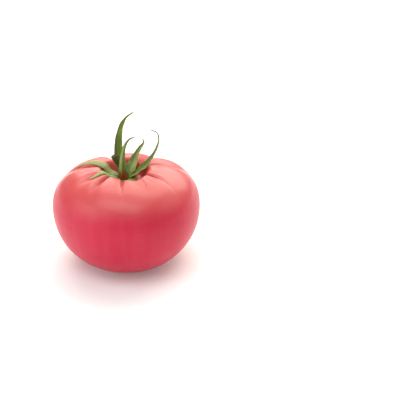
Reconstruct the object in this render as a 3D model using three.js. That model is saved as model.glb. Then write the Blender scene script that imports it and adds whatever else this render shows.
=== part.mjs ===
// A whole pink tomato with its green calyx and a short cut stalk, in millimetres, +Z up.
// The origin is the middle of the small flat spot that the fruit rests on.
import * as THREE from "three";

// Fruit: a squat body with a hollow at the stalk end.
const FRUIT_RADIUS = 42.6;
const FRUIT_HEIGHT = 58;
const WIDEST_HEIGHT = 32.8;
const REST_RADIUS = 13.8;
const RIM_RADIUS = 19;
const CAVITY_DEPTH = 8;

// Where the fruit profile's curve handles lie, as shares of the stretch that each curve covers.
const BELLY_FLARE = 0.39;
const BELLY_RISE = 0.35;
const SHOULDER_RISE = 0.72;
const SHOULDER_REACH = 0.39;
const LIP_ROUNDING = 0.5;
const FLOOR_ROUNDING = 0.6;

// Calyx: a disc on the floor of the hollow, six sepals on the disc and the stalk in its middle.
const DISC_RADIUS = 7;
const DISC_THICKNESS = 1.6;
const DISC_EDGE = 0.7;
const SEAT_MARGIN = 1;
const SEPAL_THICKNESS = 0.8;
const SEPAL_TIP_WIDTH = 0.5;
const SEPAL_ROOT_WIDTH = 3;
const SEPAL_ROOT_INSET = 1.2;
const STALK_HEIGHT = 12.8;
const STALK_LEAN = 5.6;
const STALK_RADIUS = 1.7;
const STALK_FOOT_RADIUS = 2.6;
const STALK_CUT_RADIUS = 2.4;
const STALK_FLARE_TOP = 0.35; // shares of the stalk's height, for the flare, the swelling and the bend
const STALK_SWELL_FROM = 0.8;
const STALK_BEND_LOW = 0.3;
const STALK_BEND_HIGH = 0.65;
const STALK_BEND_LEAN = 0.55;

// The clearance that pieces keep where they touch.
const FIT_GAP = 0.3;

const SEAT_RADIUS = DISC_RADIUS + SEAT_MARGIN;
const SEAT_HEIGHT = FRUIT_HEIGHT - CAVITY_DEPTH;
const DISC_FOOT = FIT_GAP;
const DISC_TOP = DISC_FOOT + DISC_THICKNESS;
const SEPAL_FOOT = DISC_TOP + FIT_GAP + SEPAL_THICKNESS / 2;

// Grooves that part the fruit's lobes: direction and half width in degrees, depth in millimetres, and
// how soon the groove fades on its way out over the shoulder.
const GROOVES = [
  { at: 20, depth: 1.4, width: 8, fade: 2.4 },
  { at: 58, depth: 3.4, width: 9, fade: 2.2 },
  { at: 111, depth: 4.2, width: 9, fade: 2.2 },
  { at: 165, depth: 2.4, width: 9, fade: 2.6 },
  { at: 213, depth: 2, width: 8, fade: 6 },
  { at: 236, depth: 2.2, width: 5, fade: 9 },
  { at: 270, depth: 1.8, width: 5, fade: 16 },
  { at: 297, depth: 1.3, width: 18, fade: 4 },
  { at: 327, depth: 1.4, width: 5, fade: 16 },
];
const GROOVE_FADE_INWARD = 0.6;

// How far the wall of the hollow closes in on the stalk, and the side, in degrees, that stays open.
const PINCH = 3.2;
const OPEN_SIDE = 295;
const OPEN_WIDTH = 42;

// How far the outline leaves a true circle: waves round it, share of the radius, direction in degrees.
const UNEVENNESS = [
  { waves: 1, share: 0.024, at: 0 },
  { waves: 1, share: 0.01, at: 90 },
  { waves: 3, share: -0.02, at: 0 },
  { waves: 3, share: 0.02, at: 30 },
];

// Each sepal leaves the disc in one direction (degrees). Its spine is a curve through points given as
// [outwards, sideways, up]. A standing sepal's heights are above the floor of the hollow. A lying
// sepal's are above the skin beneath it, so it keeps to the shoulder.
const SEPALS = [
  {
    name: "sepal_front",
    at: 258,
    width: 3.9,
    fold: 0.35,
    spine: [[6.5, 0.3, 8], [6, 0.8, 16], [3.3, 1.5, 22], [-1.2, 3, 24.6], [-5.2, 5.3, 24.5]],
    colour: 0x7c8233,
  },
  {
    name: "sepal_back",
    at: 107,
    width: 6.2,
    fold: 0.45,
    spine: [
      [8.1, 1, 7.2], [9.6, 1.6, 13], [10.2, 1.3, 20.5],
      [9.3, -0.5, 29.4], [6.9, -3, 35], [4, -7.5, 39],
    ],
    colour: 0x65792a,
  },
  {
    name: "sepal_left",
    at: 167,
    width: 5.6,
    fold: 0.3,
    lies: true,
    spine: [
      [8.6, -0.4, 3.1], [12.2, -0.6, 5.4], [15.9, -0.6, 2.8],
      [19.6, -0.4, 3.2], [23.4, 0, 3.1], [26.4, 0.5, 2.3], [28.4, 1, 1.3],
    ],
    colour: 0x98a365,
  },
  {
    name: "sepal_front_left",
    at: 216,
    width: 4.4,
    fold: 0.25,
    lies: true,
    spine: [
      [8.6, 0.2, 3.4], [12.2, 0.3, 4], [14.7, 0.2, 2],
      [17.9, -0.2, 1.5], [20.4, -0.6, 1.3], [22.3, -1, 1.2],
    ],
    colour: 0xa9a878,
  },
  {
    name: "sepal_back_right",
    at: 58,
    width: 6.4,
    fold: 0.4,
    spine: [[9.6, 0.7, 6.8], [12.1, 0.5, 10.4], [14.3, -1, 14.8], [15, -3.2, 18.5], [12.8, -3.6, 21.7]],
    colour: 0x8b9160,
  },
  {
    name: "sepal_right",
    at: 10,
    width: 4.6,
    fold: 0.35,
    spine: [
      [8, 0.1, 4.4], [13, 0.2, 8.7], [17.5, 0, 15.6],
      [19.7, -0.9, 22.5], [18.7, -1.8, 28], [15, -2.1, 30],
    ],
    colour: 0x6f6a39,
  },
];
const SEPAL_WIDEST_AT = 0.22;
const SEPAL_TAPER = 1.1;

// Fineness of the meshes.
const FRUIT_TURN_STEPS = 96;
const FRUIT_CURVE_STEPS = 12;
const ROUND_STEPS = 24;
const SEPAL_STEPS = 16;

// Turns a lathe's geometry, which stands on +Y and starts at +Z, to stand on +Z and start at +X.
function stand(geometry) {
  return geometry.rotateX(Math.PI / 2).rotateZ(Math.PI / 2);
}

// The fruit's profile before its lobes are pressed in: flat spot, belly, shoulder, hollow, floor.
function fruitProfile() {
  const belly = FRUIT_RADIUS - REST_RADIUS;
  const shoulder = FRUIT_RADIUS - RIM_RADIUS;
  const rise = FRUIT_HEIGHT - WIDEST_HEIGHT;
  const wall = RIM_RADIUS - SEAT_RADIUS;
  const path = new THREE.Path();
  path.moveTo(0, 0);
  path.lineTo(REST_RADIUS, 0);
  path.bezierCurveTo(
    REST_RADIUS + BELLY_FLARE * belly, 0,
    FRUIT_RADIUS, BELLY_RISE * WIDEST_HEIGHT,
    FRUIT_RADIUS, WIDEST_HEIGHT,
  );
  path.bezierCurveTo(
    FRUIT_RADIUS, WIDEST_HEIGHT + SHOULDER_RISE * rise,
    RIM_RADIUS + SHOULDER_REACH * shoulder, FRUIT_HEIGHT,
    RIM_RADIUS, FRUIT_HEIGHT,
  );
  path.bezierCurveTo(
    RIM_RADIUS - LIP_ROUNDING * wall, FRUIT_HEIGHT,
    SEAT_RADIUS + FLOOR_ROUNDING * wall, SEAT_HEIGHT,
    SEAT_RADIUS, SEAT_HEIGHT,
  );
  path.lineTo(0, SEAT_HEIGHT);
  return path.getPoints(FRUIT_CURVE_STEPS);
}

// How much of a groove's depth is left at a point of the profile: all of it on the rim.
function grooveReach(groove, point) {
  if (point.y <= WIDEST_HEIGHT || point.x <= SEAT_RADIUS) return 0;
  if (point.x < RIM_RADIUS) {
    return ((point.x - SEAT_RADIUS) / (RIM_RADIUS - SEAT_RADIUS)) ** GROOVE_FADE_INWARD;
  }
  return ((point.y - WIDEST_HEIGHT) / (FRUIT_HEIGHT - WIDEST_HEIGHT)) ** groove.fade;
}

// 1 in the direction at, in degrees, and falling away to both sides of it.
function bell(azimuth, at, width) {
  const turn = THREE.MathUtils.radToDeg(azimuth) - at;
  const away = THREE.MathUtils.euclideanModulo(turn + 180, 360) - 180;
  return Math.exp(-((away / width) ** 2));
}

// How deep the grooves are together, in one direction, at a point of the profile.
function grooveDepth(azimuth, point) {
  return GROOVES.reduce((sum, groove) => {
    const deepest = groove.depth * bell(azimuth, groove.at, groove.width);
    return sum + deepest * grooveReach(groove, point);
  }, 0);
}

// How far a point of the profile moves towards the stalk: most on the rim.
function pinch(azimuth, point) {
  if (point.y <= WIDEST_HEIGHT) return 0;
  const inside = THREE.MathUtils.smoothstep(point.x, SEAT_RADIUS, RIM_RADIUS);
  const outside = THREE.MathUtils.smoothstep(point.x, RIM_RADIUS, FRUIT_RADIUS);
  return PINCH * inside * (1 - outside) * (1 - bell(azimuth, OPEN_SIDE, OPEN_WIDTH));
}

function unevenness(azimuth) {
  return UNEVENNESS.reduce((sum, { waves, share, at }) => {
    return sum + share * Math.cos(waves * (azimuth - THREE.MathUtils.degToRad(at)));
  }, 0);
}

// The fruit's profile in one direction, with the grooves, the uneven outline and the pinch in it.
function meridian(azimuth) {
  const profile = fruitProfile();
  const swell = unevenness(azimuth);
  return profile.map((point, i) => {
    const before = profile[Math.max(i - 1, 0)];
    const after = profile[Math.min(i + 1, profile.length - 1)];
    const along = after.clone().sub(before).normalize();
    const inwards = new THREE.Vector2(-along.y, along.x);
    const pressed = point.clone().addScaledVector(inwards, grooveDepth(azimuth, point));
    pressed.x *= 1 + swell * (point.x / FRUIT_RADIUS) ** 2;
    pressed.x -= pinch(azimuth, point);
    return pressed;
  });
}

// Height of the skin over a place inside the widest circle.
function skinHeight(azimuth, radius) {
  const upper = meridian(azimuth).filter((point) => point.y > WIDEST_HEIGHT);
  const inner = upper.findIndex((point) => point.x <= radius);
  const a = upper[inner - 1];
  const b = upper[inner];
  return THREE.MathUtils.mapLinear(radius, a.x, b.x, a.y, b.y);
}

function fruitGeometry() {
  const geometry = new THREE.LatheGeometry(fruitProfile(), FRUIT_TURN_STEPS);
  const place = geometry.getAttribute("position");
  for (let step = 0, vertex = 0; step <= FRUIT_TURN_STEPS; step++) {
    const azimuth = (step / FRUIT_TURN_STEPS) * 2 * Math.PI;
    for (const point of meridian(azimuth)) {
      place.setXYZ(vertex, point.x * Math.sin(azimuth), point.y, point.x * Math.cos(azimuth));
      vertex += 1;
    }
  }
  return stand(geometry);
}

function discGeometry() {
  const profile = new THREE.Path();
  profile.moveTo(0, 0);
  profile.lineTo(DISC_RADIUS - DISC_EDGE, 0);
  profile.absarc(DISC_RADIUS - DISC_EDGE, DISC_EDGE, DISC_EDGE, -Math.PI / 2, 0);
  profile.absarc(DISC_RADIUS - DISC_EDGE, DISC_THICKNESS - DISC_EDGE, DISC_EDGE, 0, Math.PI / 2);
  profile.lineTo(0, DISC_THICKNESS);
  return stand(new THREE.LatheGeometry(profile.getPoints(4), ROUND_STEPS));
}

// The stalk: a foot that flares onto the disc, a thinner neck and a swollen cut end. It leans to -X.
function stalkGeometry() {
  const profile = new THREE.Path();
  profile.moveTo(0, 0);
  profile.lineTo(STALK_FOOT_RADIUS, 0);
  profile.quadraticCurveTo(STALK_RADIUS, 0, STALK_RADIUS, STALK_FLARE_TOP * STALK_HEIGHT);
  const swelling = STALK_SWELL_FROM * STALK_HEIGHT;
  profile.quadraticCurveTo(STALK_RADIUS, swelling, STALK_CUT_RADIUS, STALK_HEIGHT);
  profile.lineTo(0, STALK_HEIGHT);
  const spine = new THREE.CubicBezierCurve3(
    new THREE.Vector3(0, 0, 0),
    new THREE.Vector3(0, 0, STALK_BEND_LOW * STALK_HEIGHT),
    new THREE.Vector3(-STALK_BEND_LEAN * STALK_LEAN, 0, STALK_BEND_HIGH * STALK_HEIGHT),
    new THREE.Vector3(-STALK_LEAN, 0, STALK_HEIGHT),
  );
  const geometry = stand(new THREE.LatheGeometry(profile.getPoints(6), ROUND_STEPS));
  const place = geometry.getAttribute("position");
  for (let i = 0; i < place.count; i++) {
    const up = THREE.MathUtils.clamp(place.getZ(i) / STALK_HEIGHT, 0, 1);
    const centre = spine.getPoint(up);
    const along = spine.getTangent(up);
    place.setXYZ(i, centre.x + place.getX(i) * along.z, place.getY(i), centre.z - place.getX(i) * along.x);
  }
  return geometry;
}

// A sepal's width along its length: a narrow root, the widest place and a long taper to the tip.
function sepalWidth(sepal, along) {
  if (along < SEPAL_WIDEST_AT) {
    const opened = THREE.MathUtils.smoothstep(along, 0, SEPAL_WIDEST_AT);
    return THREE.MathUtils.lerp(SEPAL_ROOT_WIDTH, sepal.width, opened);
  }
  const left = (1 - along) / (1 - SEPAL_WIDEST_AT);
  return SEPAL_TIP_WIDTH + (sepal.width - SEPAL_TIP_WIDTH) * left ** SEPAL_TAPER;
}

// The sepal's spine in the calyx's own frame, whose origin is on the floor of the hollow.
function sepalSpine(sepal) {
  const azimuth = THREE.MathUtils.degToRad(sepal.at);
  const outwards = new THREE.Vector3(Math.cos(azimuth), Math.sin(azimuth), 0);
  const sideways = new THREE.Vector3(-Math.sin(azimuth), Math.cos(azimuth), 0);
  const root = outwards.clone().multiplyScalar(DISC_RADIUS - SEPAL_ROOT_INSET).setZ(SEPAL_FOOT);
  const points = sepal.spine.map(([out, side, up]) => {
    const point = outwards.clone().multiplyScalar(out).addScaledVector(sideways, side);
    const under = sepal.lies
      ? skinHeight(Math.atan2(point.y, point.x), Math.hypot(point.x, point.y)) - SEAT_HEIGHT
      : 0;
    return point.setZ(under + up);
  });
  return { curve: new THREE.CatmullRomCurve3([root, ...points], false, "centripetal"), sideways };
}

// A thin strip bent along the spine, folded along its middle, its edges towards the stalk.
function sepalGeometry(sepal) {
  const { curve, sideways } = sepalSpine(sepal);
  const geometry = new THREE.BoxGeometry(1, 1, 1, 2, SEPAL_STEPS, 1);
  const frames = [];
  const across = sideways.clone();
  for (let step = 0; step <= SEPAL_STEPS; step++) {
    const tangent = curve.getTangentAt(step / SEPAL_STEPS);
    across.addScaledVector(tangent, -across.dot(tangent)).normalize();
    frames.push({
      centre: curve.getPointAt(step / SEPAL_STEPS),
      across: across.clone(),
      inner: tangent.clone().cross(across),
    });
  }
  const place = geometry.getAttribute("position");
  for (let i = 0; i < place.count; i++) {
    const along = place.getY(i) + 0.5;
    const frame = frames[Math.round(along * SEPAL_STEPS)];
    const side = place.getX(i) * sepalWidth(sepal, along);
    const thin = THREE.MathUtils.lerp(1, 0.5, along);
    const lift = sepal.fold * Math.abs(side) - place.getZ(i) * SEPAL_THICKNESS * thin;
    const point = frame.centre.clone().addScaledVector(frame.across, side);
    point.addScaledVector(frame.inner, lift);
    place.setXYZ(i, point.x, point.y, point.z);
  }
  return geometry;
}

function makeMesh(name, geometry, colour, roughness) {
  const material = new THREE.MeshStandardMaterial({ color: colour, roughness, metalness: 0 });
  const mesh = new THREE.Mesh(geometry, material);
  mesh.name = name;
  return mesh;
}

function makeCalyx() {
  const calyx = new THREE.Group();
  const disc = makeMesh("calyx_disc", discGeometry(), 0x6d5f1b, 0.7);
  disc.position.z = DISC_FOOT;
  const stalk = makeMesh("stalk", stalkGeometry(), 0x3f3c10, 0.75);
  stalk.position.z = DISC_TOP + FIT_GAP;
  calyx.add(disc, stalk);
  for (const sepal of SEPALS) {
    calyx.add(makeMesh(sepal.name, sepalGeometry(sepal), sepal.colour, 0.7));
  }
  calyx.position.z = SEAT_HEIGHT;
  return calyx;
}

const tomato = new THREE.Group();
tomato.add(makeMesh("fruit", fruitGeometry(), 0xd94a5c, 0.25), makeCalyx());

export default tomato;
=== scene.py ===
# %% [markdown]
# # A whole pink tomato
# A squat, softly lobed fruit with a hollow at its stalk end. In the hollow sits the calyx: a small
# green disc, six slender sepals and a short cut stalk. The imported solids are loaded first. They give
# the place and the size of everything, so each piece below is grown around them in the same frame.

# %% Load the frame
import math
import bpy
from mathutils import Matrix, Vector


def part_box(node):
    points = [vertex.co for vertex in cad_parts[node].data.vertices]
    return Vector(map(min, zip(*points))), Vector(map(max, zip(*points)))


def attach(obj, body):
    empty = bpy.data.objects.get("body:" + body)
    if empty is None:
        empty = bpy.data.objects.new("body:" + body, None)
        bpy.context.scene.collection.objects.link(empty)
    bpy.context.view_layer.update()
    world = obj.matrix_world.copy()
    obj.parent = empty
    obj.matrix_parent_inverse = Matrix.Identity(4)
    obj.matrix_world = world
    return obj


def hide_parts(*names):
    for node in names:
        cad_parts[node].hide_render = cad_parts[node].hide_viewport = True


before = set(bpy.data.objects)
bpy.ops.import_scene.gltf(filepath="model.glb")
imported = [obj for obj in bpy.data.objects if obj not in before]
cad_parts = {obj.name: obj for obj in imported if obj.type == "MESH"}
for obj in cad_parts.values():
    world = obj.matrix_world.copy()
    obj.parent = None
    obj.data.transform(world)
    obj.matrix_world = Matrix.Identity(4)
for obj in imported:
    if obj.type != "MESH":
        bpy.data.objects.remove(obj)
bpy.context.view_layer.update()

# %% [markdown]
# ## Sizes
# A tomato's shape follows a rule, so a few lengths are enough to grow it. They are written in
# millimetres and turned into metres once. The frame's boxes say where the fruit's top and the
# calyx's floor are, and everything else is measured from those two.

# %% Driving sizes
MM = 0.001
FRUIT_RADIUS = 42.6 * MM
WIDEST_HEIGHT = 32.8 * MM
REST_RADIUS = 13.8 * MM  # the flat spot that the fruit stands on
RIM_RADIUS = 19 * MM  # the crest around the hollow
SEAT_RADIUS = 8 * MM  # the hollow's floor
FIT_GAP = 0.3 * MM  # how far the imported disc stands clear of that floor
FRUIT_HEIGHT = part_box("fruit")[1].z
DISC_LOW, DISC_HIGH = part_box("calyx_disc")
SEAT_HEIGHT = DISC_LOW.z - FIT_GAP
DISC_RADIUS = DISC_HIGH.x
DISC_TOP = DISC_HIGH.z
print(f"fruit {FRUIT_HEIGHT / MM:.1f} mm high, floor of the hollow at {SEAT_HEIGHT / MM:.1f} mm")

# %% [markdown]
# ## Writing node trees as sums
# Both the shapes and the finishes are node trees. A tree is easier to read as arithmetic than as
# boxes and wires, so a socket is wrapped in a small class whose operators add the Math nodes.
# Reflected operators are there too, so `1 - mask` works. Every other node comes from one method.

# %% One class for sums, one method for any other node
class Flow:
    """The output of a node, ready to be fed to another node."""

    def __init__(self, tree, socket):
        self.tree = tree
        self.socket = socket


class Number(Flow):
    """A number in a node tree. Arithmetic on it adds Math nodes."""

    def __add__(self, other):
        return self.tree.math("ADD", self, other)

    def __sub__(self, other):
        return self.tree.math("SUBTRACT", self, other)

    def __rsub__(self, other):
        return self.tree.math("SUBTRACT", other, self)

    def __mul__(self, other):
        return self.tree.math("MULTIPLY", self, other)

    def __truediv__(self, other):
        return self.tree.math("DIVIDE", self, other)

    def __rtruediv__(self, other):
        return self.tree.math("DIVIDE", other, self)

    def __pow__(self, other):
        return self.tree.math("POWER", self, other)

    def __neg__(self):
        return self.tree.math("MULTIPLY", self, -1.0)

    __radd__ = __add__
    __rmul__ = __mul__


class Tree:
    """A node tree being written."""

    def __init__(self, tree):
        self.tree = tree

    def add(self, kind, settings=None, inputs=None):
        """Any node: its type, its settings, then values or links for its sockets."""
        node = self.tree.nodes.new(kind)
        for name, value in (settings or {}).items():
            setattr(node, name, value)
        for key, value in (inputs or {}).items():
            socket = self.find(node.inputs, key)
            if isinstance(value, Flow):
                self.tree.links.new(value.socket, socket)
            else:
                socket.default_value = value
        return node

    def find(self, sockets, key):
        """A socket, by its place in the list or by its name."""
        if isinstance(key, int):
            return sockets[key]
        return next(s for s in sockets if s.enabled and key in (s.name, s.identifier))

    def flow(self, kind, settings=None, inputs=None, output=0):
        node = self.add(kind, settings, inputs)
        return Flow(self, self.find(node.outputs, output))

    def number(self, kind, settings=None, inputs=None, output=0):
        return Number(self, self.flow(kind, settings, inputs, output).socket)

    def math(self, operation, *values, clamp=False):
        settings = {"operation": operation, "use_clamp": clamp}
        return self.number("ShaderNodeMath", settings, dict(enumerate(values)))

    def vector_math(self, operation, *values, scale=None):
        inputs = dict(enumerate(values))
        if scale is not None:
            inputs["Scale"] = scale
        return self.flow("ShaderNodeVectorMath", {"operation": operation}, inputs)

    def vector(self, x, y, z):
        return self.flow("ShaderNodeCombineXYZ", None, {0: x, 1: y, 2: z})

    def split(self, vector):
        node = self.add("ShaderNodeSeparateXYZ", None, {0: vector})
        return [Number(self, socket) for socket in node.outputs]

    def smooth(self, value, low, high):
        """0 below low, 1 above high, and an even ease between."""
        settings = {"interpolation_type": "SMOOTHSTEP"}
        return self.number("ShaderNodeMapRange", settings, {"Value": value, 1: low, 2: high})

    def stretch(self, value, low, high):
        """0 below low, 1 above high, and a straight line between."""
        step = 1 / (high - low)
        return self.math("MULTIPLY_ADD", value, step, -low * step, clamp=True)

    def bell(self, value, width):
        """1 where value is 0, falling away on both sides."""
        share = value / width
        return self.math("EXPONENT", -(share * share))

    def noise(self, vector, scale, detail=2.0):
        """Soft random blotches around 0.5. The scale is about how many there are to a metre."""
        return self.number("ShaderNodeTexNoise", None, {"Vector": vector, "Scale": scale, "Detail": detail})

    def core_distance(self, x, y):
        return self.math("SQRT", x * x + y * y)


print("node helpers ready")

# %% [markdown]
# ## Growing a piece with Geometry Nodes
# A tree starts from a flat grid whose two directions are *around* and *along*. A formula moves each
# point to its place, what the finish needs to know is stored as an attribute, and the seam and the
# two ends are welded, so the skin is closed. The result is made a plain mesh and the modifier is
# taken off again.

# %% Make a tree, run it, keep the mesh
WELD_DISTANCE = 0.002 * MM


class GrowthTree(Tree):
    """A geometry tree with one named number input for each size."""

    def __init__(self, name, sizes):
        super().__init__(bpy.data.node_groups.new(name, "GeometryNodeTree"))
        face = self.tree.interface
        face.new_socket("Geometry", in_out="INPUT", socket_type="NodeSocketGeometry")
        self.identifiers = {
            size: face.new_socket(size, in_out="INPUT", socket_type="NodeSocketFloat").identifier
            for size in sizes
        }
        face.new_socket("Geometry", in_out="OUTPUT", socket_type="NodeSocketGeometry")
        self.entry = self.add("NodeGroupInput")
        self.start = Flow(self, self.entry.outputs["Geometry"])

    def size(self, name):
        return Number(self, self.entry.outputs[name])

    def grid(self, around, along):
        """A flat grid, and its two shares, around and along, from 0 to 1."""
        inputs = {"Size X": 1.0, "Size Y": 1.0, "Vertices X": around + 1, "Vertices Y": along + 1}
        mesh = self.flow("GeometryNodeMeshGrid", None, inputs, "Mesh")
        x, y, _ = self.split(self.flow("GeometryNodeInputPosition"))
        return mesh, x + 0.5, y + 0.5

    def store(self, mesh, name, value):
        settings = {"data_type": "FLOAT", "domain": "POINT"}
        inputs = {"Geometry": mesh, "Name": name, "Value": value}
        return self.flow("GeometryNodeStoreNamedAttribute", settings, inputs)

    def place(self, mesh, position):
        return self.flow("GeometryNodeSetPosition", None, {"Geometry": mesh, "Position": position})

    def shift(self, mesh, offset):
        return self.flow("GeometryNodeSetPosition", None, {"Geometry": mesh, "Offset": offset})

    def along_normal(self, normal, distance):
        return self.vector_math("SCALE", normal, scale=distance)

    def weld(self, mesh):
        inputs = {"Geometry": mesh, "Distance": WELD_DISTANCE}
        return self.flow("GeometryNodeMergeByDistance", None, inputs)

    def degrees_from(self, direction, azimuth):
        """How far round an azimuth is from a direction, from -180 to 180."""
        return self.math("WRAP", azimuth - direction, 180.0, -180.0)

    def finish(self, mesh, material):
        """Ends the tree. Any instances are made real, and the material is set."""
        mesh = self.flow("GeometryNodeRealizeInstances", None, {"Geometry": mesh})
        mesh = self.flow("GeometryNodeSetShadeSmooth", None, {"Geometry": mesh})
        mesh = self.flow("GeometryNodeSetMaterial", None, {"Geometry": mesh, "Material": material})
        self.add("NodeGroupOutput", None, {"Geometry": mesh})


def grow(name, growth, sizes, start=None):
    """Runs a tree on a mesh, or on nothing, and returns the result as a plain mesh object."""
    piece = bpy.data.objects.new(name, start or bpy.data.meshes.new(name))
    bpy.context.scene.collection.objects.link(piece)
    modifier = piece.modifiers.new("growth", "NODES")
    modifier.node_group = growth.tree
    for size, value in sizes.items():
        modifier[growth.identifiers[size]] = value
    bpy.context.view_layer.update()
    evaluated = piece.evaluated_get(bpy.context.evaluated_depsgraph_get())
    mesh = bpy.data.meshes.new_from_object(evaluated)
    piece.modifiers.remove(modifier)
    piece.data = mesh
    mesh.name = name
    span = [max(v.co[i] for v in mesh.vertices) - min(v.co[i] for v in mesh.vertices) for i in range(3)]
    print(name, len(mesh.polygons), "faces, spans", [round(length / MM, 1) for length in span], "mm")
    return piece


# %% [markdown]
# ## The fruit
# A tomato swells between the walls of its seed chambers, so its shoulder is a ring of lobes with
# grooves between them, deepest on the rim of the hollow. It could be sculpted, but the shape follows
# a rule: turn a profile round the core, press the grooves in along the skin's own normal, let the
# outline leave the circle a little, then pinch the hollow's wall in on the stalk, all round but for
# one open side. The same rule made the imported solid, with far fewer points.

# %% What makes this fruit's shape
GROOVES = [  # direction and half width in degrees, depth in millimetres, how soon it fades outwards
    (20, 8, 1.4, 2.4),
    (58, 9, 3.4, 2.2),
    (111, 9, 4.2, 2.2),
    (165, 9, 2.4, 2.6),
    (213, 8, 2.0, 6.0),
    (236, 4, 2.7, 12.0),
    (270, 3, 2.1, 20.0),
    (297, 18, 1.3, 4.0),
    (327, 4, 1.8, 24.0),
]
UNEVENNESS = [(1, 0.024, 0), (1, 0.01, 90), (3, -0.02, 0), (3, 0.02, 30)]  # waves, share, degrees
PINCH = 3.2 * MM
OPEN_SIDE, OPEN_WIDTH = 295, 42  # the side, in degrees, on which the hollow's wall is not pinched
print(len(GROOVES), "grooves between as many lobes")

# %% The profile
# where the flat spot, the belly, the shoulder and the hollow's wall end, as shares of the whole
FLAT_END, BELLY_END, SHOULDER_END, WALL_END = 0.06, 0.4, 0.72, 0.94
# how far the handles of each curve reach, as shares of the curve's own width or height
BELLY_OUT, BELLY_UP = 0.39, 0.35
SHOULDER_OUT, SHOULDER_UP = 0.39, 0.72
WALL_TOP, WALL_FOOT = 0.5, 0.6


def bezier(t, start, first, second, end):
    """How far a cubic curve has come from its start, at share t of the way."""
    s = 1 - t
    return (s * s * s - 1) * start + s * s * t * 3 * first + s * t * t * 3 * second + t * t * t * end


def fruit_profile(growth, along):
    """Distance from the core, and height, at a share of the way from the base to the hollow's floor."""
    radius, height, widest = growth.size("Radius"), growth.size("Height"), growth.size("Widest height")
    rest, rim, seat = growth.size("Rest radius"), growth.size("Rim radius"), growth.size("Seat radius")
    floor = growth.size("Seat height")
    flat, belly = growth.stretch(along, 0, FLAT_END), growth.stretch(along, FLAT_END, BELLY_END)
    shoulder = growth.stretch(along, BELLY_END, SHOULDER_END)
    wall, inside = growth.stretch(along, SHOULDER_END, WALL_END), growth.stretch(along, WALL_END, 1)
    out = rest * flat + bezier(belly, rest, rest + (radius - rest) * BELLY_OUT, radius, radius)
    out = out + bezier(shoulder, radius, radius, rim + (radius - rim) * SHOULDER_OUT, rim)
    out = out + bezier(wall, rim, rim - (rim - seat) * WALL_TOP, seat + (rim - seat) * WALL_FOOT, seat)
    up = bezier(belly, 0, 0, widest * BELLY_UP, widest)
    up = up + bezier(shoulder, widest, widest + (height - widest) * SHOULDER_UP, height, height)
    up = up + bezier(wall, height, height, floor, floor)
    return out - seat * inside, up


# %% The lobes and the outline
# a groove is a broad valley with a narrower crease in it, both as shares of its width and depth
VALLEY_WIDTH, VALLEY_DEPTH = 1.12, 0.86
CREASE_WIDTH, CREASE_DEPTH = 0.36, 0.3
# powers: how soon each of the two fades down the hollow's wall, and the crease outwards
VALLEY_INSIDE, CREASE_INSIDE, CREASE_OUTSIDE = 0.6, 0.8, 7


def azimuth_of(growth, x, y):
    return growth.math("ARCTAN2", y, x) * math.degrees(1)


def press_grooves(growth, mesh):
    """Moves the skin inwards along its normal: a broad valley and a narrower crease for each groove."""
    x, y, z = growth.split(growth.flow("GeometryNodeInputPosition"))
    out = growth.core_distance(x, y)
    azimuth = azimuth_of(growth, x, y)
    rim, seat = growth.size("Rim radius"), growth.size("Seat radius")
    rise = (z - growth.size("Widest height")) / (growth.size("Height") - growth.size("Widest height"))
    rise = growth.math("MAXIMUM", rise, 0.0)
    inwards = growth.math("MULTIPLY", (out - seat) / (rim - seat), 1.0, clamp=True)
    within = growth.math("LESS_THAN", out, rim) * growth.math("GREATER_THAN", rise, 0.5)
    reach_inside, sharp_inside = inwards ** VALLEY_INSIDE * within, inwards ** CREASE_INSIDE * within
    sharp = sharp_inside + rise ** CREASE_OUTSIDE * (1 - within)
    depth = 0.0
    for at, width, deepest, fade in GROOVES:
        away = growth.degrees_from(at, azimuth)
        reach = reach_inside + rise ** fade * (1 - within)
        valley = growth.bell(away, width * VALLEY_WIDTH) * reach * (deepest * VALLEY_DEPTH * MM)
        crease = growth.bell(away, width * CREASE_WIDTH) * sharp * (deepest * CREASE_DEPTH * MM)
        depth = crease + valley + depth
    normal = growth.flow("GeometryNodeInputNormal")
    return growth.shift(growth.store(mesh, "groove", depth / MM), growth.along_normal(normal, -depth))


def swell_outline(growth, mesh):
    """Lets the outline leave a true circle, most where the fruit is widest."""
    x, y, _ = growth.split(growth.flow("GeometryNodeInputPosition"))
    azimuth = growth.math("ARCTAN2", y, x)
    swell = 0.0
    for waves, share, at in UNEVENNESS:
        swell = growth.math("COSINE", azimuth * waves - math.radians(at * waves)) * share + swell
    swell = swell * (x * x + y * y) / growth.size("Radius") ** 2
    return growth.shift(mesh, growth.vector(x * swell, y * swell, 0.0))


def pinch_hollow(growth, mesh):
    """Closes the wall of the hollow in on the stalk, all round but for one open side."""
    x, y, z = growth.split(growth.flow("GeometryNodeInputPosition"))
    out = growth.core_distance(x, y)
    radius, rim, seat = growth.size("Radius"), growth.size("Rim radius"), growth.size("Seat radius")
    away = growth.degrees_from(OPEN_SIDE, azimuth_of(growth, x, y))
    wall = growth.smooth(out, seat, rim) * (1 - growth.smooth(out, rim, radius))
    wall = wall * growth.math("GREATER_THAN", z, growth.size("Widest height"))
    inwards = growth.size("Pinch") * wall * (1 - growth.bell(away, OPEN_WIDTH))
    share = -inwards / growth.math("MAXIMUM", out, seat)
    return growth.shift(mesh, growth.vector(x * share, y * share, 0.0))


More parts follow.
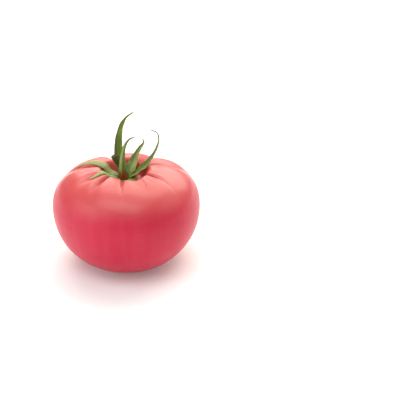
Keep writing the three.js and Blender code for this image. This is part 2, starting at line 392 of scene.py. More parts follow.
# %% The small unevenness of the skin
WIDE_SCALE, WIDE_DEPTH = 34.0, 0.9  # blotches to a metre, depth in millimetres
FINE_SCALE, FINE_DEPTH = 130.0, 0.12
EVEN_BELOW, UNEVEN_ABOVE = 1 * MM, 14 * MM  # the flat spot stays flat
PLEATS_ROUND, PLEATS_OUT, PLEAT_DEPTH = 0.16, 90, 1.6 * MM  # pleats to a degree, to a metre
PLEAT_PLACE, PLEAT_REACH = 2 * MM, 5 * MM  # how far outside the rim, and how far either way
PLEATS_FROM, PLEATS_FULL = 45 * MM, 52 * MM  # heights, so that the base has none
DIMPLE_RADIUS, DIMPLE_DEPTH = 3.2 * MM, 0.9 * MM


def add_lumps(growth, mesh):
    """Shallow random hollows, pleats around the rim, and a small dimple at the blossom end."""
    position = growth.flow("GeometryNodeInputPosition")
    x, y, z = growth.split(position)
    wide = (growth.noise(position, WIDE_SCALE, 1.0) - 0.5) * WIDE_DEPTH
    fine = (growth.noise(position, FINE_SCALE, 2.0) - 0.5) * FINE_DEPTH
    depth = (wide + fine) * MM * growth.smooth(z, EVEN_BELOW, UNEVEN_ABOVE) * growth.size("Lumps")
    mesh = growth.shift(mesh, growth.along_normal(growth.flow("GeometryNodeInputNormal"), -depth))
    out = growth.core_distance(x, y)
    pattern = growth.vector(azimuth_of(growth, x, y) * PLEATS_ROUND, out * PLEATS_OUT, 0.0)
    pleats = growth.noise(pattern, 1.0, 1.0) - 0.5
    rim = growth.bell(out - growth.size("Rim radius") - PLEAT_PLACE, PLEAT_REACH)
    rim = rim * growth.smooth(z, PLEATS_FROM, PLEATS_FULL)
    mesh = growth.shift(mesh, growth.vector(0.0, 0.0, pleats * rim * growth.size("Lumps") * PLEAT_DEPTH))
    low = growth.math("LESS_THAN", z, WIDEST_HEIGHT)
    return growth.shift(mesh, growth.vector(0.0, 0.0, growth.bell(out, DIMPLE_RADIUS) * low * DIMPLE_DEPTH))


# %% Grow the fruit
AROUND_FRUIT, ALONG_FRUIT = 360, 200  # faces
FRUIT_SIZES = {
    "Radius": FRUIT_RADIUS,
    "Height": FRUIT_HEIGHT,
    "Widest height": WIDEST_HEIGHT,
    "Rest radius": REST_RADIUS,
    "Rim radius": RIM_RADIUS,
    "Seat radius": SEAT_RADIUS,
    "Seat height": SEAT_HEIGHT,
    "Pinch": PINCH,
    "Lumps": 0.5,  # the share of the depths above that this fruit has
}


def fruit_growth(material):
    growth = GrowthTree("fruit_growth", FRUIT_SIZES)
    mesh, around, along = growth.grid(AROUND_FRUIT, ALONG_FRUIT)
    out, up = fruit_profile(growth, along)
    turn = around * (2 * math.pi)
    turned = growth.vector(out * growth.math("COSINE", turn), out * growth.math("SINE", turn), up)
    mesh = growth.weld(growth.place(mesh, turned))
    mesh = pinch_hollow(growth, swell_outline(growth, press_grooves(growth, mesh)))
    mesh = add_lumps(growth, mesh)
    growth.finish(mesh, material)
    return growth


skin = bpy.data.materials.new("tomato_skin")
fruit_skin = grow("fruit_skin", fruit_growth(skin), FRUIT_SIZES)
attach(fruit_skin, "root")
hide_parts("fruit")

# %% [markdown]
# ## The sepals
# A sepal is a thin blade with a rib down its middle. Its broad foot joins its neighbours on the disc,
# and it tapers to a long dried tip that curls as it loses water. All six follow one rule: a
# lens-shaped section is swept along a spine, folded along the rib and rippled at its edges. They
# differ in their spine, width, fold, twist and tone, and those are inputs, so one tree grows them
# all. A lying sepal's heights are above the skin beneath it, which is found by dropping a line onto
# the finished fruit.

# %% What sets the sepals apart
# at, roll and twist are in degrees, and width is in millimetres, as are the points of the spine, as
# (outwards, sideways, up); tone 0 is the deepest green and 1 the palest; dry says where along its
# length the brown tip starts
# a sepal's tone is partly its own green and partly painted light: the palest, the front left one, carries a
# painted highlight
SEPALS = {
    "sepal_front": {
        "at": 258,
        "width": 4.0,
        "taper": 1.2,
        "fold": 0.35,
        "roll": 0,
        "twist": 8,
        "tone": 0.1,
        "dry": 0.66,
        "scab": 1.0,
        "spine": [(6.5, 0.3, 8), (6, 0.8, 16), (3.3, 1.5, 22), (-1.2, 3, 24.6), (-5.2, 5.3, 24.5)],
    },
    "sepal_back": {
        "at": 107,
        "width": 7.0,
        "taper": 1.0,
        "fold": 0.55,
        "roll": 0,
        "twist": 20,
        "tone": -0.1,
        "dry": 0.84,
        "spine": [(8.1, 1, 7.2), (9.6, 1.6, 13), (10.2, 1.3, 20.5), (9.3, -0.5, 29.4), (6.9, -3, 35),
                  (4, -7.5, 39)],
    },
    "sepal_left": {
        "at": 167,
        "width": 6.2,
        "taper": 0.9,
        "fold": 0.3,
        "roll": -16,
        "twist": 10,
        "tone": 0.55,
        "dry": 0.9,
        "lies": True,
        "spine": [(8.6, -0.4, 3.1), (12.2, -0.6, 5.4), (15.9, -0.6, 2.8), (19.6, -0.4, 3.2),
                  (23.4, 0, 3.1), (26.4, 0.5, 2.2), (28.4, 1.0, 1.1)],
    },
    "sepal_front_left": {
        "at": 216,
        "width": 5.4,
        "taper": 0.9,
        "fold": 0.25,
        "roll": -26,
        "twist": 12,
        "tone": 0.8,
        "dry": 0.97,
        "lies": True,
        "spine": [(8.6, 0.2, 3.4), (12.2, 0.3, 3.8), (14.7, 0.2, 1.8), (17.9, -0.2, 1.3),
                  (20.4, -0.6, 1.1), (22.3, -1, 1.0)],
    },
    "sepal_back_right": {
        "at": 58,
        "width": 7.2,
        "taper": 1.35,
        "fold": 0.4,
        "roll": 0,
        "twist": 0,
        "tone": 0.4,
        "dry": 0.82,
        "spine": [(9.6, 0.7, 6.8), (12.1, 0.5, 10.4), (14.3, -1, 14.8), (15, -3.2, 18.5), (12.8, -3.6, 21.7)],
    },
    "sepal_right": {
        "at": 10,
        "width": 6.2,
        "taper": 2.2,
        "fold": 0.35,
        "roll": 30,
        "twist": -20,
        "tone": -0.1,
        "dry": 0.72,
        "spine": [(8, 0.1, 4.4), (13, 0.2, 8.7), (17.5, 0, 15.6), (19.7, -0.9, 22.5), (18.7, -1.8, 28),
                  (15, -2.1, 30)],
    },
}
SEPAL_THICKNESS = 0.8 * MM
SEPAL_ROOT = [(2.2, 0, 1.2), (4.4, 0, 2.4)]  # every spine starts in the disc and rises out of it
SPINE_POINTS = 120
print(len(SEPALS), "sepals, at", [sepal["at"] for sepal in SEPALS.values()], "degrees")


def skin_height(x, y):
    """Height of the finished fruit's skin at a place."""
    hit, spot, _, _ = fruit_skin.ray_cast(Vector((x, y, 2 * FRUIT_HEIGHT)), Vector((0, 0, -1)))
    return spot.z if hit else SEAT_HEIGHT


def sepal_spine(name, sepal):
    """The sepal's spine as a mesh of points joined by edges."""
    turn = math.radians(sepal["at"])
    outwards, sideways = Vector((math.cos(turn), math.sin(turn))), Vector((-math.sin(turn), math.cos(turn)))
    points = []
    for i, (out, side, up) in enumerate(SEPAL_ROOT + sepal["spine"]):
        place = (outwards * out + sideways * side) * MM
        lies = sepal.get("lies") and i >= len(SEPAL_ROOT)
        under = skin_height(*place) if lies else SEAT_HEIGHT
        points.append((*place, under + up * MM))
    mesh = bpy.data.meshes.new(name + "_spine")
    mesh.from_pydata(points, [(i, i + 1) for i in range(len(points) - 1)], [])
    return mesh


# %% A smooth spine, and the places along it
def smooth_spine(growth):
    curve = growth.flow("GeometryNodeMeshToCurve", None, {"Mesh": growth.start}, "Curve")
    curve = growth.flow("GeometryNodeCurveSplineType", {"spline_type": "CATMULL_ROM"}, {"Curve": curve})
    inputs = {"Curve": curve, "Count": SPINE_POINTS}
    return growth.flow("GeometryNodeResampleCurve", {"mode": "COUNT"}, inputs)


def ride_spine(growth, curve, along):
    """Where a spine is at a share of its length, and its three directions there."""
    node = growth.add("GeometryNodeSampleCurve", {"mode": "FACTOR"}, {"Curves": curve, "Factor": along})
    centre, ahead, normal = (Flow(growth, node.outputs[name]) for name in ("Position", "Tangent", "Normal"))
    sideways = growth.vector_math("SCALE", normal, scale=-1.0)
    return centre, ahead, sideways, growth.vector_math("CROSS_PRODUCT", ahead, sideways)


# %% The blade's section
TIP_WIDTH = 0.7 * MM
FOOT_START, FOOT_END, BLADE_TAPER = 0.02, 0.24, 0.76  # shares of the length
ROOT_CLOSE, TIP_CLOSE = 0.02, 0.03  # shares of the length in which the two ends close
RAGGED, RAGGED_ALONG, RAGGED_ACROSS = 0.22, 30, 0.6  # share of the width, and its pattern
WAVE_ALONG, WAVE_ACROSS = 7, 0.7
FOLD_ROUNDING = 0.5 * MM
RIB_WIDTH, RIB_HEIGHT = 0.42 * MM, 0.32 * MM
CHANNEL_WIDTH, CHANNEL_DEPTH = 0.35 * MM, 0.16 * MM
THINNING = 0.55  # the share of its thickness that a blade loses by its tip
ROLL_START, ROLL_END = 0.1, 0.36


def sepal_width(growth, along):
    """A broad foot, the blade's own width soon after, then a long taper. Both ends close."""
    opened = growth.smooth(along, FOOT_START, FOOT_END)
    left = growth.stretch(1 - along, 0.0, BLADE_TAPER)
    wide, root = growth.size("Width"), growth.size("Root width")
    tapered = (wide - TIP_WIDTH) * left ** growth.size("Taper") + TIP_WIDTH
    closed = growth.stretch(along, 0, ROOT_CLOSE) ** 0.5 * growth.stretch(1 - along, 0, TIP_CLOSE) ** 0.5
    return (root * (1 - opened) + tapered * opened) * closed, closed


def sepal_section(growth, side, face, along):
    """How far across the blade a point of its skin is, and how far it is lifted off the spine."""
    width, closed = sepal_width(growth, along)
    seed = growth.size("Seed")
    pattern = growth.vector(along * RAGGED_ALONG, side * RAGGED_ACROSS, seed)
    across = side * width * 0.5 * ((growth.noise(pattern, 1.0) - 0.5) * RAGGED + 1)
    fold = growth.math("SQRT", across * across + FOLD_ROUNDING**2) - FOLD_ROUNDING
    pattern = growth.vector(along * WAVE_ALONG, side * WAVE_ACROSS, seed + 5)
    wave = (growth.noise(pattern, 1.0) - 0.5) * side * side
    rib = growth.bell(across, RIB_WIDTH) * growth.math("MAXIMUM", -face, 0.0) * -RIB_HEIGHT
    channel = growth.bell(across, CHANNEL_WIDTH) * growth.math("MAXIMUM", face, 0.0) * -CHANNEL_DEPTH
    thick = growth.size("Thickness") * 0.5 * (1 - along * THINNING) * closed
    lift = fold * growth.size("Fold") + wave * width * 0.5 + face * thick + (rib + channel) * closed
    return across, lift


# %% One tree grows every sepal
AROUND_BLADE, ALONG_BLADE = 28, 110  # faces


def sepal_growth(material):
    sizes = ["Width", "Root width", "Taper", "Fold", "Thickness", "Roll", "Twist", "Seed"]
    growth = GrowthTree("sepal_growth", sizes + ["Tone", "Dry from", "Scab"])
    mesh, around, along = growth.grid(AROUND_BLADE, ALONG_BLADE)
    turn = around * (2 * math.pi)
    side, face = growth.math("COSINE", turn), growth.math("SINE", turn)
    mesh = growth.store(growth.store(mesh, "side", side), "along", along)
    for name in ("Tone", "Dry from", "Scab"):
        mesh = growth.store(mesh, name.lower().replace(" ", "_"), growth.size(name))
    across, lift = sepal_section(growth, side, face, along)
    rolled = growth.size("Roll") * growth.smooth(along, ROLL_START, ROLL_END)
    twist = rolled + growth.size("Twist") * along
    sine, cosine = growth.math("SINE", twist), growth.math("COSINE", twist)
    centre, _, sideways, inner = ride_spine(growth, smooth_spine(growth), along)
    offset = growth.vector_math("SCALE", sideways, scale=across * cosine - lift * sine)
    place = growth.vector_math("ADD", centre, offset)
    offset = growth.vector_math("SCALE", inner, scale=across * sine + lift * cosine)
    mesh = growth.weld(growth.place(mesh, growth.vector_math("ADD", place, offset)))
    growth.finish(mesh, material)
    return growth


# %% Grow the six sepals
ROOT_WIDTH = 6.4 * MM
SEED_STEP = 3.7  # moves each blade's random pattern on, so no two are alike
sepal_finish = bpy.data.materials.new("sepal_green")
sepal_tree = sepal_growth(sepal_finish)
for seed, (name, sepal) in enumerate(SEPALS.items()):
    sizes = {
        "Width": sepal["width"] * MM,
        "Root width": ROOT_WIDTH,
        "Taper": sepal["taper"],
        "Fold": sepal["fold"],
        "Thickness": SEPAL_THICKNESS,
        "Roll": math.radians(sepal["roll"]),
        "Twist": math.radians(sepal["twist"]),
        "Seed": SEED_STEP * seed,
        "Tone": sepal["tone"],
        "Dry from": sepal["dry"],
        "Scab": sepal.get("scab", 0.0),
    }
    blade = grow(name.replace("sepal", "blade"), sepal_tree, sizes, sepal_spine(name, sepal))
    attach(blade, "root")
    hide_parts(name)

# %% [markdown]
# ## The disc
# The sepals and the stalk meet on a fleshy green disc. Its rim stands out a little below each sepal
# and is pinched in between them, and its upper side is dished. A turned section with a waved radius
# does this: the wave is a bell for each sepal's direction.

# %% Grow the disc
AROUND_DISC, ALONG_DISC = 120, 40  # faces
LOBE_WIDTH, LOBE_SHARE = 17.0, 0.08  # degrees, and how much of the radius is given to the lobes
RIM_PLACE, RIM_WIDTH, RIM_HEIGHT = 0.8, 0.22, 0.9 * MM  # the first two are shares of the radius
RIM_FROM, RIM_FULL = 0.4, 0.9  # shares of the way from the disc's bottom to its top
RIM_BETWEEN = 0.3  # the share of the rim's height that is left between two sepals
DISC_SPREAD = 1.04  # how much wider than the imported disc
FLAT_SIDES = 0.6  # a power: the lower, the squarer the disc's edge
SUNK = 0.3 * MM  # how far the disc is grown into the hollow's floor


def disc_growth(material):
    growth = GrowthTree("disc_growth", ["Radius", "Bottom", "Top"])
    mesh, around, along = growth.grid(AROUND_DISC, ALONG_DISC)
    azimuth = around * 360
    lobes = 0.0
    for sepal in SEPALS.values():
        lobes = growth.bell(growth.degrees_from(sepal["at"], azimuth), LOBE_WIDTH) + lobes
    turn, rise = around * (2 * math.pi), (along - 0.5) * math.pi
    thick = growth.size("Top") - growth.size("Bottom")
    share = growth.math("COSINE", rise) ** FLAT_SIDES
    out = share * growth.size("Radius") * (lobes * LOBE_SHARE + (1 - LOBE_SHARE))
    upper = growth.stretch(along, RIM_FROM, RIM_FULL)
    raised = lobes * (1 - RIM_BETWEEN) + RIM_BETWEEN
    rim = growth.bell(share - RIM_PLACE, RIM_WIDTH) * upper * raised * RIM_HEIGHT
    up = growth.size("Bottom") + thick * (growth.math("SINE", rise) * 0.5 + 0.5) + rim
    place = growth.vector(out * growth.math("COSINE", turn), out * growth.math("SINE", turn), up)
    growth.finish(growth.weld(growth.place(growth.store(mesh, "along", along), place)), material)
    return growth


disc_finish = bpy.data.materials.new("calyx_disc_green")
calyx_cup = grow(
    "calyx_cup",
    disc_growth(disc_finish),
    {"Radius": DISC_RADIUS * DISC_SPREAD, "Bottom": SEAT_HEIGHT - SUNK, "Top": DISC_TOP},
)
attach(calyx_cup, "root")
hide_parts("calyx_disc")

# %% [markdown]
# ## The stalk
# The stalk snapped off at its joint, so it ends in a swollen knuckle with a rough, sunken face. It is
# ribbed lengthwise and leans to the left. A round section is swept along a short curve. The last part
# of the grid no longer climbs: it closes over the knuckle and makes the broken face.

# %% The stalk's curve
STALK_LEAN = 5.6 * MM
STALK_HEIGHT = 13.4 * MM
STALK_SUNK = 0.4 * MM  # how far its foot goes into the disc
FOOT_HANDLE, TOP_HANDLE, TOP_LEAN = 0.3, 0.65, 0.55  # shares of the height and of the lean


def stalk_curve(growth):
    foot, height = DISC_TOP - STALK_SUNK, STALK_HEIGHT
    inputs = {
        "Resolution": 48,
        "Start": (0, 0, foot),
        "Start Handle": (0, 0, foot + FOOT_HANDLE * height),
        "End Handle": (-TOP_LEAN * STALK_LEAN, 0, foot + TOP_HANDLE * height),
        "End": (-STALK_LEAN, 0, foot + height),
    }
    return growth.flow("GeometryNodeCurvePrimitiveBezierSegment", {"mode": "POSITION"}, inputs)


# %% Grow the stalk
AROUND_STALK, ALONG_STALK = 60, 110  # faces
FOOT_SHARE, FACE_FROM = 0.05, 0.86  # shares of the grid: the foot's underside, and the broken face
RIBS, RIB_TURN, RIB_RISE = 5, 2.2, 0.05  # the last is a share of the radius
STALK_ROUGH = 0.14  # a share of the radius
FLARE_START, FLARE_END = -0.1, 0.4  # shares of the climb, as the knuckle's are
KNUCKLE_START, KNUCKLE_FULL = 0.55, 0.97
FACE_SUNK, FACE_LIP, FACE_ROUGH = 0.55 * MM, 0.2 * MM, 0.5 * MM
SUNK_START, SUNK_END, LIP_PLACE = 0.25, 0.8, 0.12  # shares of the way in from the face's edge


def stalk_growth(material):
    growth = GrowthTree("stalk_growth", ["Neck radius", "Foot radius", "Knuckle radius"])
    mesh, around, along = growth.grid(AROUND_STALK, ALONG_STALK)
    turn = around * (2 * math.pi)
    foot, climb = growth.stretch(along, 0, FOOT_SHARE), growth.stretch(along, FOOT_SHARE, FACE_FROM)
    face = growth.stretch(along, FACE_FROM, 1)
    neck, knuckle = growth.size("Neck radius"), growth.size("Knuckle radius")
    radius = neck + (growth.size("Foot radius") - neck) * (1 - growth.smooth(climb, FLARE_START, FLARE_END))
    radius = radius + (knuckle - neck) * growth.smooth(climb, KNUCKLE_START, KNUCKLE_FULL)
    ribs = growth.math("COSINE", turn * RIBS + climb * RIB_TURN) * RIB_RISE
    open_share = 1 - face
    x, y = growth.math("COSINE", turn) * open_share, growth.math("SINE", turn) * open_share
    rough = growth.noise(growth.vector(x, y, climb * 3), 2.5)
    radius = radius * (1 + ribs + (rough - 0.5) * STALK_ROUGH)
    lip = growth.bell(face - LIP_PLACE, LIP_PLACE) * FACE_LIP
    sunk = growth.smooth(face, SUNK_START, SUNK_END) * FACE_SUNK - lip
    sunk = sunk + (rough - 0.5) * face * FACE_ROUGH
    centre, ahead, sideways, inner = ride_spine(growth, stalk_curve(growth), climb)
    place = centre
    for direction, amount in ((sideways, radius * foot * x), (inner, radius * foot * y), (ahead, -sunk)):
        place = growth.vector_math("ADD", place, growth.vector_math("SCALE", direction, scale=amount))
    mesh = growth.store(growth.store(mesh, "along", climb), "face", face)
    growth.finish(growth.weld(growth.place(mesh, place)), material)
    return growth


stalk_finish = bpy.data.materials.new("stalk_green")
stalk_stub = grow(
    "stalk_stub",
    stalk_growth(stalk_finish),
    {"Neck radius": 1.7 * MM, "Foot radius": 2.7 * MM, "Knuckle radius": 2.15 * MM},
)
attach(stalk_stub, "root")
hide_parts("stalk")


# %% [markdown]
# ## Finishes
# A finish is a shader tree written with the same sums. What varies over a surface feeds the colour,
# the roughness or the bump. What is the same all over is set on the shader itself. Patterns read the
# object's own coordinates, or the attributes that the growth stored, so they stay on the surface.

# %% A shader tree
PATCH_LOW, PATCH_HIGH = 0.3, 0.7  # a random pattern's values between which two colours are mixed


def rgb(red, green, blue):
    """A colour picked on a screen, turned into the linear values that a shader works with."""
    def linear(value):
        value = value / 255
        return value / 12.92 if value <= 0.04045 else ((value + 0.055) / 1.055) ** 2.4

    return linear(red), linear(green), linear(blue)


class Finish(Tree):
    """The shader tree of one material."""

    def __init__(self, material):
        material.use_nodes = True
        super().__init__(material.node_tree)
        self.tree.nodes.clear()
        self.place = self.flow("ShaderNodeTexCoord", None, None, "Object")

    def attribute(self, name):
        return self.number("ShaderNodeAttribute", {"attribute_name": name}, None, "Fac")

    def mix(self, share, first, second):
        """A colour between two: tuples or links."""
        first, second = ((*c, 1.0) if isinstance(c, tuple) else c for c in (first, second))
        inputs = {"Factor": share, "A": first, "B": second}
        return self.flow("ShaderNodeMix", {"data_type": "RGBA"}, inputs, "Result")

    def patchy(self, pattern, first, second):
        """The first colour in a random pattern's hollows and the second on its tops."""
        return self.mix(self.smooth(pattern, PATCH_LOW, PATCH_HIGH), first, second)

    def bump(self, height, distance, strength):
        inputs = {"Height": height, "Distance": distance, "Strength": strength}
        return self.flow("ShaderNodeBump", None, inputs, "Normal")

    def surface(self, inputs):
        shader = self.flow("ShaderNodeBsdfPrincipled", None, inputs, "BSDF")
        self.add("ShaderNodeOutputMaterial", None, {"Surface": shader})


# %% [markdown]
# ### Skin
# The skin is a clear, waxy film over deep pink flesh. Seen closely it has fine pale dots, faint
# streaks that run from the stalk to the base, and short corky cracks on the edge of the hollow. Light
# goes a little way in, so the shader scatters it, and the wax gives soft, wide highlights.
# Some light and shade is painted into the skin's colour as well: painted shade in the grooves and towards the
# base, and a painted highlight on the top.

# %% Colours of the skin
FLESH, PALER_FLESH = rgb(199, 20, 60), rgb(206, 29, 68)
# of these, the groove colour is painted shade: a darker red for the shade that lies in the grooves
STREAK, DOT, PAINTED_GROOVE_SHADE = rgb(224, 76, 88), rgb(240, 150, 120), rgb(176, 8, 36)
# the shoulder colour is a painted highlight on the top, paler and warmer, and the base colour is painted
# shade towards the bottom
PAINTED_SHOULDER_HIGHLIGHT, PAINTED_BASE_SHADE = rgb(210, 112, 94), rgb(176, 14, 50)
SCAR, CRACK = rgb(120, 84, 50), rgb(150, 70, 56)
print("flesh colour", [round(value, 3) for value in FLESH])

# %% Where the skin changes
GROOVE_SHOWS, GROOVE_FULL = 0.4, 2.0  # depths in millimetres
FLOOR_END, WALL_START = 10 * MM, 14 * MM  # distances from the core: the hollow's floor stays pink
SHOULDER_START, SHOULDER_FULL = 36 * MM, 56 * MM  # heights
BASE_START, BASE_FULL = 24 * MM, 0.0
WAX_START, WAX_FULL = 40 * MM, 52 * MM
SCAR_RADIUS, SCAR_TOP = 2.2 * MM, 10 * MM
CRACK_RING, CRACK_REACH = 24 * MM, 4 * MM  # distance from the core, and how far either way
CRACKS_FROM, CRACKS_FULL = 46 * MM, 50 * MM
print("the wax starts at", round(WAX_START / MM), "mm")

# %% How fine and how strong each pattern is
CLOUD_SCALE, DOT_SCALE, GRAIN_SCALE = 38.0, 900.0, 700.0  # to a metre
DOT_CORE, DOT_EDGE = 0.08, 0.26  # shares of the room that a dot has
STREAKS_ROUND, STREAKS_ALONG = 8, 20  # to a radian, to a metre
CRACKS_ACROSS, CRACKS_DOWN, CRACK_WIDTH = 260, 60, 0.012  # to a metre; the width is in the pattern's values
CRACK_PATCHES, PATCH_STARTS, PATCH_ENDS = 90.0, 0.5, 0.62
STREAK_SHARE, DOT_SHARE, GROOVE_SHADE_SHARE = 0.14, 0.07, 0.85
SHOULDER_HIGHLIGHT_SHARE, BASE_SHADE_SHARE, CRACK_SHARE = 0.5, 0.5, 0.6


def corky_cracks(finish, x, y, z, out):
    """Thin lines where a random pattern passes its middle, broken up, on the hollow's edge only."""
    pattern = finish.vector(x * CRACKS_ACROSS, y * CRACKS_ACROSS, z * CRACKS_DOWN)
    lines = finish.bell(finish.noise(pattern, 1.0) - 0.5, CRACK_WIDTH)
    lines = lines * finish.bell(out - CRACK_RING, CRACK_REACH)
    patches = finish.noise(finish.place, CRACK_PATCHES, 1.0)
    lines = lines * finish.smooth(patches, PATCH_STARTS, PATCH_ENDS)
    return lines * finish.smooth(z, CRACKS_FROM, CRACKS_FULL)


# %% Finish the skin
def finish_skin(material):
    finish = Finish(material)
    x, y, z = finish.split(finish.place)
    azimuth, out = finish.math("ARCTAN2", y, x), finish.core_distance(x, y)
    pattern = finish.vector(azimuth * STREAKS_ROUND, z * STREAKS_ALONG, out * STREAKS_ALONG)
    streaks = finish.noise(pattern, 1.0, 1.0)
    clouds = finish.noise(finish.place, CLOUD_SCALE)
    colour = finish.patchy(clouds, FLESH, PALER_FLESH)
    colour = finish.mix(finish.smooth(streaks, 0.4, 0.8) * STREAK_SHARE, colour, STREAK)
    dots = finish.number("ShaderNodeTexVoronoi", None, {"Vector": finish.place, "Scale": DOT_SCALE})
    dots = 1 - finish.smooth(dots, DOT_CORE, DOT_EDGE)
    colour = finish.mix(dots * DOT_SHARE, colour, DOT)
    # painted shade: the deeper the groove, the darker red the skin is coloured, as shade falls there; the
    # same depth also makes it rougher and less waxy
    groove = finish.smooth(finish.attribute("groove"), GROOVE_SHOWS, GROOVE_FULL)
    shown = groove * finish.smooth(out, FLOOR_END, WALL_START) * GROOVE_SHADE_SHARE
    colour = finish.mix(shown, colour, PAINTED_GROOVE_SHADE)
    # painted highlight: the skin is coloured paler and warmer towards the top, where the sheen of the lights
    # falls
    shown = finish.smooth(z, SHOULDER_START, SHOULDER_FULL) * SHOULDER_HIGHLIGHT_SHARE
    colour = finish.mix(shown, colour, PAINTED_SHOULDER_HIGHLIGHT)
    # painted shade: the skin is coloured deeper red towards the base, which gets less light
    colour = finish.mix(finish.smooth(z, BASE_START, BASE_FULL) * BASE_SHADE_SHARE, colour, PAINTED_BASE_SHADE)
    scar = finish.bell(out, SCAR_RADIUS) * finish.math("LESS_THAN", z, SCAR_TOP)
    colour = finish.mix(scar, colour, SCAR)
    cracks = corky_cracks(finish, x, y, z, out)
    colour = finish.mix(cracks * CRACK_SHARE, colour, CRACK)
    fine = finish.noise(finish.place, GRAIN_SCALE) * 0.4 + dots * 0.25 - cracks
    finish.surface(
        {
            "Base Color": colour,
            "Roughness": finish.noise(finish.place, 60.0) * 0.1 + 0.33 + scar * 0.4 + groove * 0.15,
            "Normal": finish.bump(fine, 0.05 * MM, 0.35),
            "IOR": 1.38,
            "Coat Weight": finish.smooth(z, WAX_START, WAX_FULL) * (0.45 - groove * 0.3) + 0.03,
            "Coat Roughness": 0.24,
            "Coat IOR": 1.5,
            "Subsurface Weight": 0.12,
            "Subsurface Radius": (1.0, 0.25, 0.15),
            "Subsurface Scale": 2.0 * MM,
        }
    )


finish_skin(skin)

# %% [markdown]
# ### Greens
# The calyx is matt. Each sepal is paler along its veins, and along its rib, partly its own colour and partly
# a painted highlight. Painted shade darkens one half of its fold, and it dries to grey-brown at the tip. One
# has a brown scab near its foot. The stalk is a darker green, and its broken face is paler with a brown edge.

# %% Colours of the greens
BLADE, BLADE_PATCH = rgb(92, 128, 30), rgb(130, 160, 60)
# the darkest blade colour is painted shade, for the half of a fold turned from the light
BLADE_PALE, BLADE_PAINTED_SHADE = rgb(186, 196, 136), rgb(58, 88, 12)
# the rib colour is partly the rib's own paler green and partly a painted highlight
VEIN, RIB_GREEN_AND_HIGHLIGHT, BLADE_FOOT = rgb(170, 178, 110), rgb(168, 172, 92), rgb(92, 104, 22)
SCAB, DRY_TIP = rgb(128, 74, 30), rgb(120, 112, 96)
DISC, DISC_PATCH, DISC_RIM = rgb(84, 100, 12), rgb(116, 134, 34), rgb(142, 140, 28)
STALK, STALK_PATCH, KNUCKLE = rgb(62, 66, 10), rgb(84, 90, 20), rgb(48, 46, 6)
BROKEN_EDGE, BROKEN_FACE = rgb(58, 52, 12), rgb(84, 80, 28)
print("blade colour", [round(value, 3) for value in BLADE])

# %% Finish the sepals
VEIN_TURNS = 24
FOOT_COLOUR_START, FOOT_COLOUR_END = 0.04, 0.3  # shares of the length, as the next two are
SCAB_PLACE, SCAB_REACH = 0.17, 0.08
SHADED_HALF_START, SHADED_HALF_FULL = -0.1, 0.2  # shares of the half width, as the rib's is
RIB_REACH = 0.09
HALF_SHADE_SHARE, VEIN_SHARE, RIB_AND_HIGHLIGHT_SHARE, FOOT_COLOUR_SHARE = 0.7, 0.25, 0.5, 0.75
DRY_EDGE, DRY_UNEVENNESS = 8, 0.1  # how sharp and how uneven the edge of the dry tip is


def finish_sepals(material):
    finish = Finish(material)
    side, along = finish.attribute("side"), finish.attribute("along")
    patches = finish.noise(finish.place, 240.0, 3.0)
    colour = finish.patchy(patches, BLADE, BLADE_PATCH)
    # partly each sepal's own green, partly painted light: paler where a sepal catches light
    colour = finish.mix(finish.stretch(finish.attribute("tone"), 0, 1), colour, BLADE_PALE)
    # painted shade: one half of each sepal's fold is coloured darker, as if turned from the light
    shaded_half = finish.smooth(side, SHADED_HALF_START, SHADED_HALF_FULL)
    colour = finish.mix(shaded_half * HALF_SHADE_SHARE, colour, BLADE_PAINTED_SHADE)
    veins = finish.math("COSINE", side * VEIN_TURNS) * 0.5 + 0.5
    colour = finish.mix(veins * VEIN_SHARE, colour, VEIN)
    rib = finish.bell(side, RIB_REACH)
    # partly the rib's own paler green, partly a painted highlight down the middle of the blade
    colour = finish.mix(rib * RIB_AND_HIGHLIGHT_SHARE, colour, RIB_GREEN_AND_HIGHLIGHT)
    foot = 1 - finish.smooth(along, FOOT_COLOUR_START, FOOT_COLOUR_END)
    colour = finish.mix(foot * FOOT_COLOUR_SHARE, colour, BLADE_FOOT)
    scab = finish.attribute("scab") * finish.bell(along - SCAB_PLACE, SCAB_REACH)
    colour = finish.mix(scab * finish.smooth(patches, 0.3, 0.55), colour, SCAB)
    past_edge = along + (patches - 0.5) * DRY_UNEVENNESS - finish.attribute("dry_from")
    dry = finish.smooth(past_edge * DRY_EDGE, 0.0, 1.0)
    colour = finish.mix(dry, colour, DRY_TIP)
    finish.surface(
        {
            "Base Color": colour,
            "Roughness": 0.62,
            "Normal": finish.bump(veins * 0.4 + patches + rib, 0.08 * MM, 0.6),
            "Subsurface Weight": 0.1,
            "Subsurface Radius": (0.5, 1.0, 0.2),
            "Subsurface Scale": 0.6 * MM,
        }
    )


# %% Finish the disc and the stalk
RIM_COLOUR_PLACE, RIM_COLOUR_REACH, RIM_SHARE = 0.62, 0.14, 0.6
KNUCKLE_COLOUR_START, KNUCKLE_SHARE = 0.6, 0.5
EDGE_START, EDGE_FULL = 0.05, 0.25  # shares of the way in over the broken face, as the next two are
INNER_START, INNER_FULL = 0.35, 0.6


def finish_disc(material):
    finish = Finish(material)
    patches = finish.noise(finish.place, 420.0, 3.0)
    colour = finish.patchy(patches, DISC, DISC_PATCH)
    rim = finish.bell(finish.attribute("along") - RIM_COLOUR_PLACE, RIM_COLOUR_REACH)
    colour = finish.mix(rim * RIM_SHARE, colour, DISC_RIM)
    normal = finish.bump(patches, 0.2 * MM, 0.6)
    finish.surface({"Base Color": colour, "Roughness": 0.6, "Normal": normal})


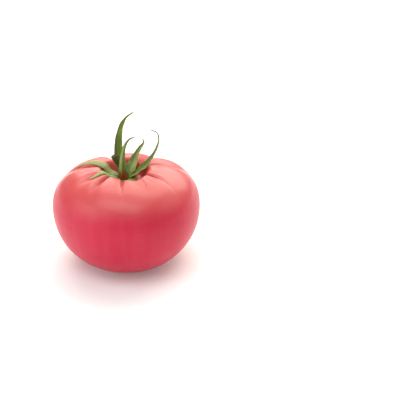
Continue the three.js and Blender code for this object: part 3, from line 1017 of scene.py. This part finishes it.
def finish_stalk(material):
    finish = Finish(material)
    along, face = finish.attribute("along"), finish.attribute("face")
    patches = finish.noise(finish.place, 380.0, 3.0)
    colour = finish.patchy(patches, STALK, STALK_PATCH)
    knuckle = finish.smooth(along, KNUCKLE_COLOUR_START, 1.0)
    colour = finish.mix(knuckle * KNUCKLE_SHARE, colour, KNUCKLE)
    broken = finish.mix(finish.smooth(face, INNER_START, INNER_FULL), BROKEN_EDGE, BROKEN_FACE)
    colour = finish.mix(finish.smooth(face, EDGE_START, EDGE_FULL), colour, broken)
    normal = finish.bump(patches, 0.25 * MM, 0.8)
    finish.surface({"Base Color": colour, "Roughness": 0.7, "Normal": normal})


finish_sepals(sepal_finish)
finish_disc(disc_finish)
finish_stalk(stalk_finish)
print("finishes", sorted(m.name for m in bpy.data.materials if m.users))

# %% [markdown]
# ## Stage, light and camera
# The fruit stands on a plain white table under large soft lights. Two behind it lay a pale sheen on
# the lobes, one overhead and one above the camera fill the top, and three weaker ones stand low at
# the left, the front left and the right. Away from the fruit the table glows more and more, so it
# fades into the plain white that the camera sees around it. The camera looks down through a long
# lens.

# %% Stage
TABLE_HALF_WIDTH, TABLE_WHITE = 0.9, 0.9
GLOW_START, GLOW_END = 0.25, 0.75  # distances from the middle of the table, in metres
GLOW_LEAST, GLOW_MORE = 0.12, 0.8


def lay_floor():
    mesh = bpy.data.meshes.new("table")
    w = TABLE_HALF_WIDTH
    mesh.from_pydata([(-w, -w, 0), (w, -w, 0), (w, w, 0), (-w, w, 0)], [], [(0, 1, 2, 3)])
    floor = bpy.data.objects.new("table", mesh)
    bpy.context.scene.collection.objects.link(floor)
    white = bpy.data.materials.new("table_white")
    finish = Finish(white)
    distance = finish.number("ShaderNodeVectorMath", {"operation": "LENGTH"}, {0: finish.place}, "Value")
    glow = finish.smooth(distance, GLOW_START, GLOW_END) * GLOW_MORE + GLOW_LEAST
    finish.surface(
        {
            "Base Color": (TABLE_WHITE, TABLE_WHITE, TABLE_WHITE, 1.0),
            "Roughness": 0.8,
            "Emission Color": finish.mix(glow, (0.0, 0.0, 0.0), (1.0, 1.0, 1.0)),
            "Emission Strength": 1.0,
        }
    )
    mesh.materials.append(white)


lay_floor()

# %% Light
WHITE, WARM = (1.0, 1.0, 1.0), (1.0, 0.93, 0.82)
LIGHTS = [  # name, azimuth and elevation in degrees, size in metres, brightness, colour
    ("overhead", -90, 88, (1.0, 1.0), 0.9, WHITE),
    ("behind_high", 80, 60, (1.3, 0.6), 2.8, WARM),
    ("behind_low", 78, 31, (1.5, 0.6), 2.9, WARM),
    ("above_camera", -112, 62, (1.2, 0.5), 1.8, WHITE),
    ("left", 196, 14, (0.7, 0.7), 1.3, WHITE),
    ("front_left", -146, 24, (0.8, 0.6), 0.9, WHITE),
    ("right", 5, 30, (0.7, 0.6), 1.0, WARM),
]
HEART = Vector((0.0, 0.0, FRUIT_HEIGHT / 2))


def softbox(name, azimuth, elevation, size, brightness, colour):
    """A rectangular light, a metre away, that faces the fruit. Azimuth 0 is to the right, 90 is behind."""
    turn, rise = math.radians(azimuth), math.radians(elevation)
    towards = Vector((math.cos(rise) * math.cos(turn), math.cos(rise) * math.sin(turn), math.sin(rise)))
    light = bpy.data.lights.new(name, "AREA")
    light.shape = "RECTANGLE"
    light.size, light.size_y = size
    light.energy = brightness * math.pi * light.size * light.size_y
    light.color = colour
    lamp = bpy.data.objects.new(name, light)
    bpy.context.scene.collection.objects.link(lamp)
    lamp.location = HEART + towards
    lamp.rotation_euler = (-towards).to_track_quat("-Z", "Y").to_euler()


for light_settings in LIGHTS:
    softbox(*light_settings)
print(len(LIGHTS), "soft lights")

# %% The room
ROOM_GLOW = 0.26


def pale_world(glow):
    """A dim, even glow. A ray that comes straight from the camera sees plain white instead."""
    world = bpy.data.worlds.new("studio")
    bpy.context.scene.world = world
    world.use_nodes = True
    room = Tree(world.node_tree)
    world.node_tree.nodes.clear()
    seen = room.number("ShaderNodeLightPath", None, None, "Is Camera Ray")
    strength = seen * (1 - glow) + glow
    sky = room.flow("ShaderNodeBackground", None, {"Color": (1.0, 1.0, 1.0, 1.0), "Strength": strength})
    room.add("ShaderNodeOutputWorld", None, {"Surface": sky})


pale_world(ROOM_GLOW)
bpy.context.scene.view_settings.view_transform = "Standard"

# %% Camera
CAMERA_PLACE = (0.043, -0.4941, 0.2707)
LOOKS_DOWN = 25.3  # degrees
LENS, SENSOR_WIDTH = 85.0, 36.0  # millimetres
camera = bpy.data.objects.new("camera", bpy.data.cameras.new("camera"))
bpy.context.scene.collection.objects.link(camera)
camera.data.lens = LENS
camera.data.sensor_width = SENSOR_WIDTH
camera.location = CAMERA_PLACE
camera.rotation_euler = (math.radians(90 - LOOKS_DOWN), 0.0, 0.0)
bpy.context.scene.camera = camera
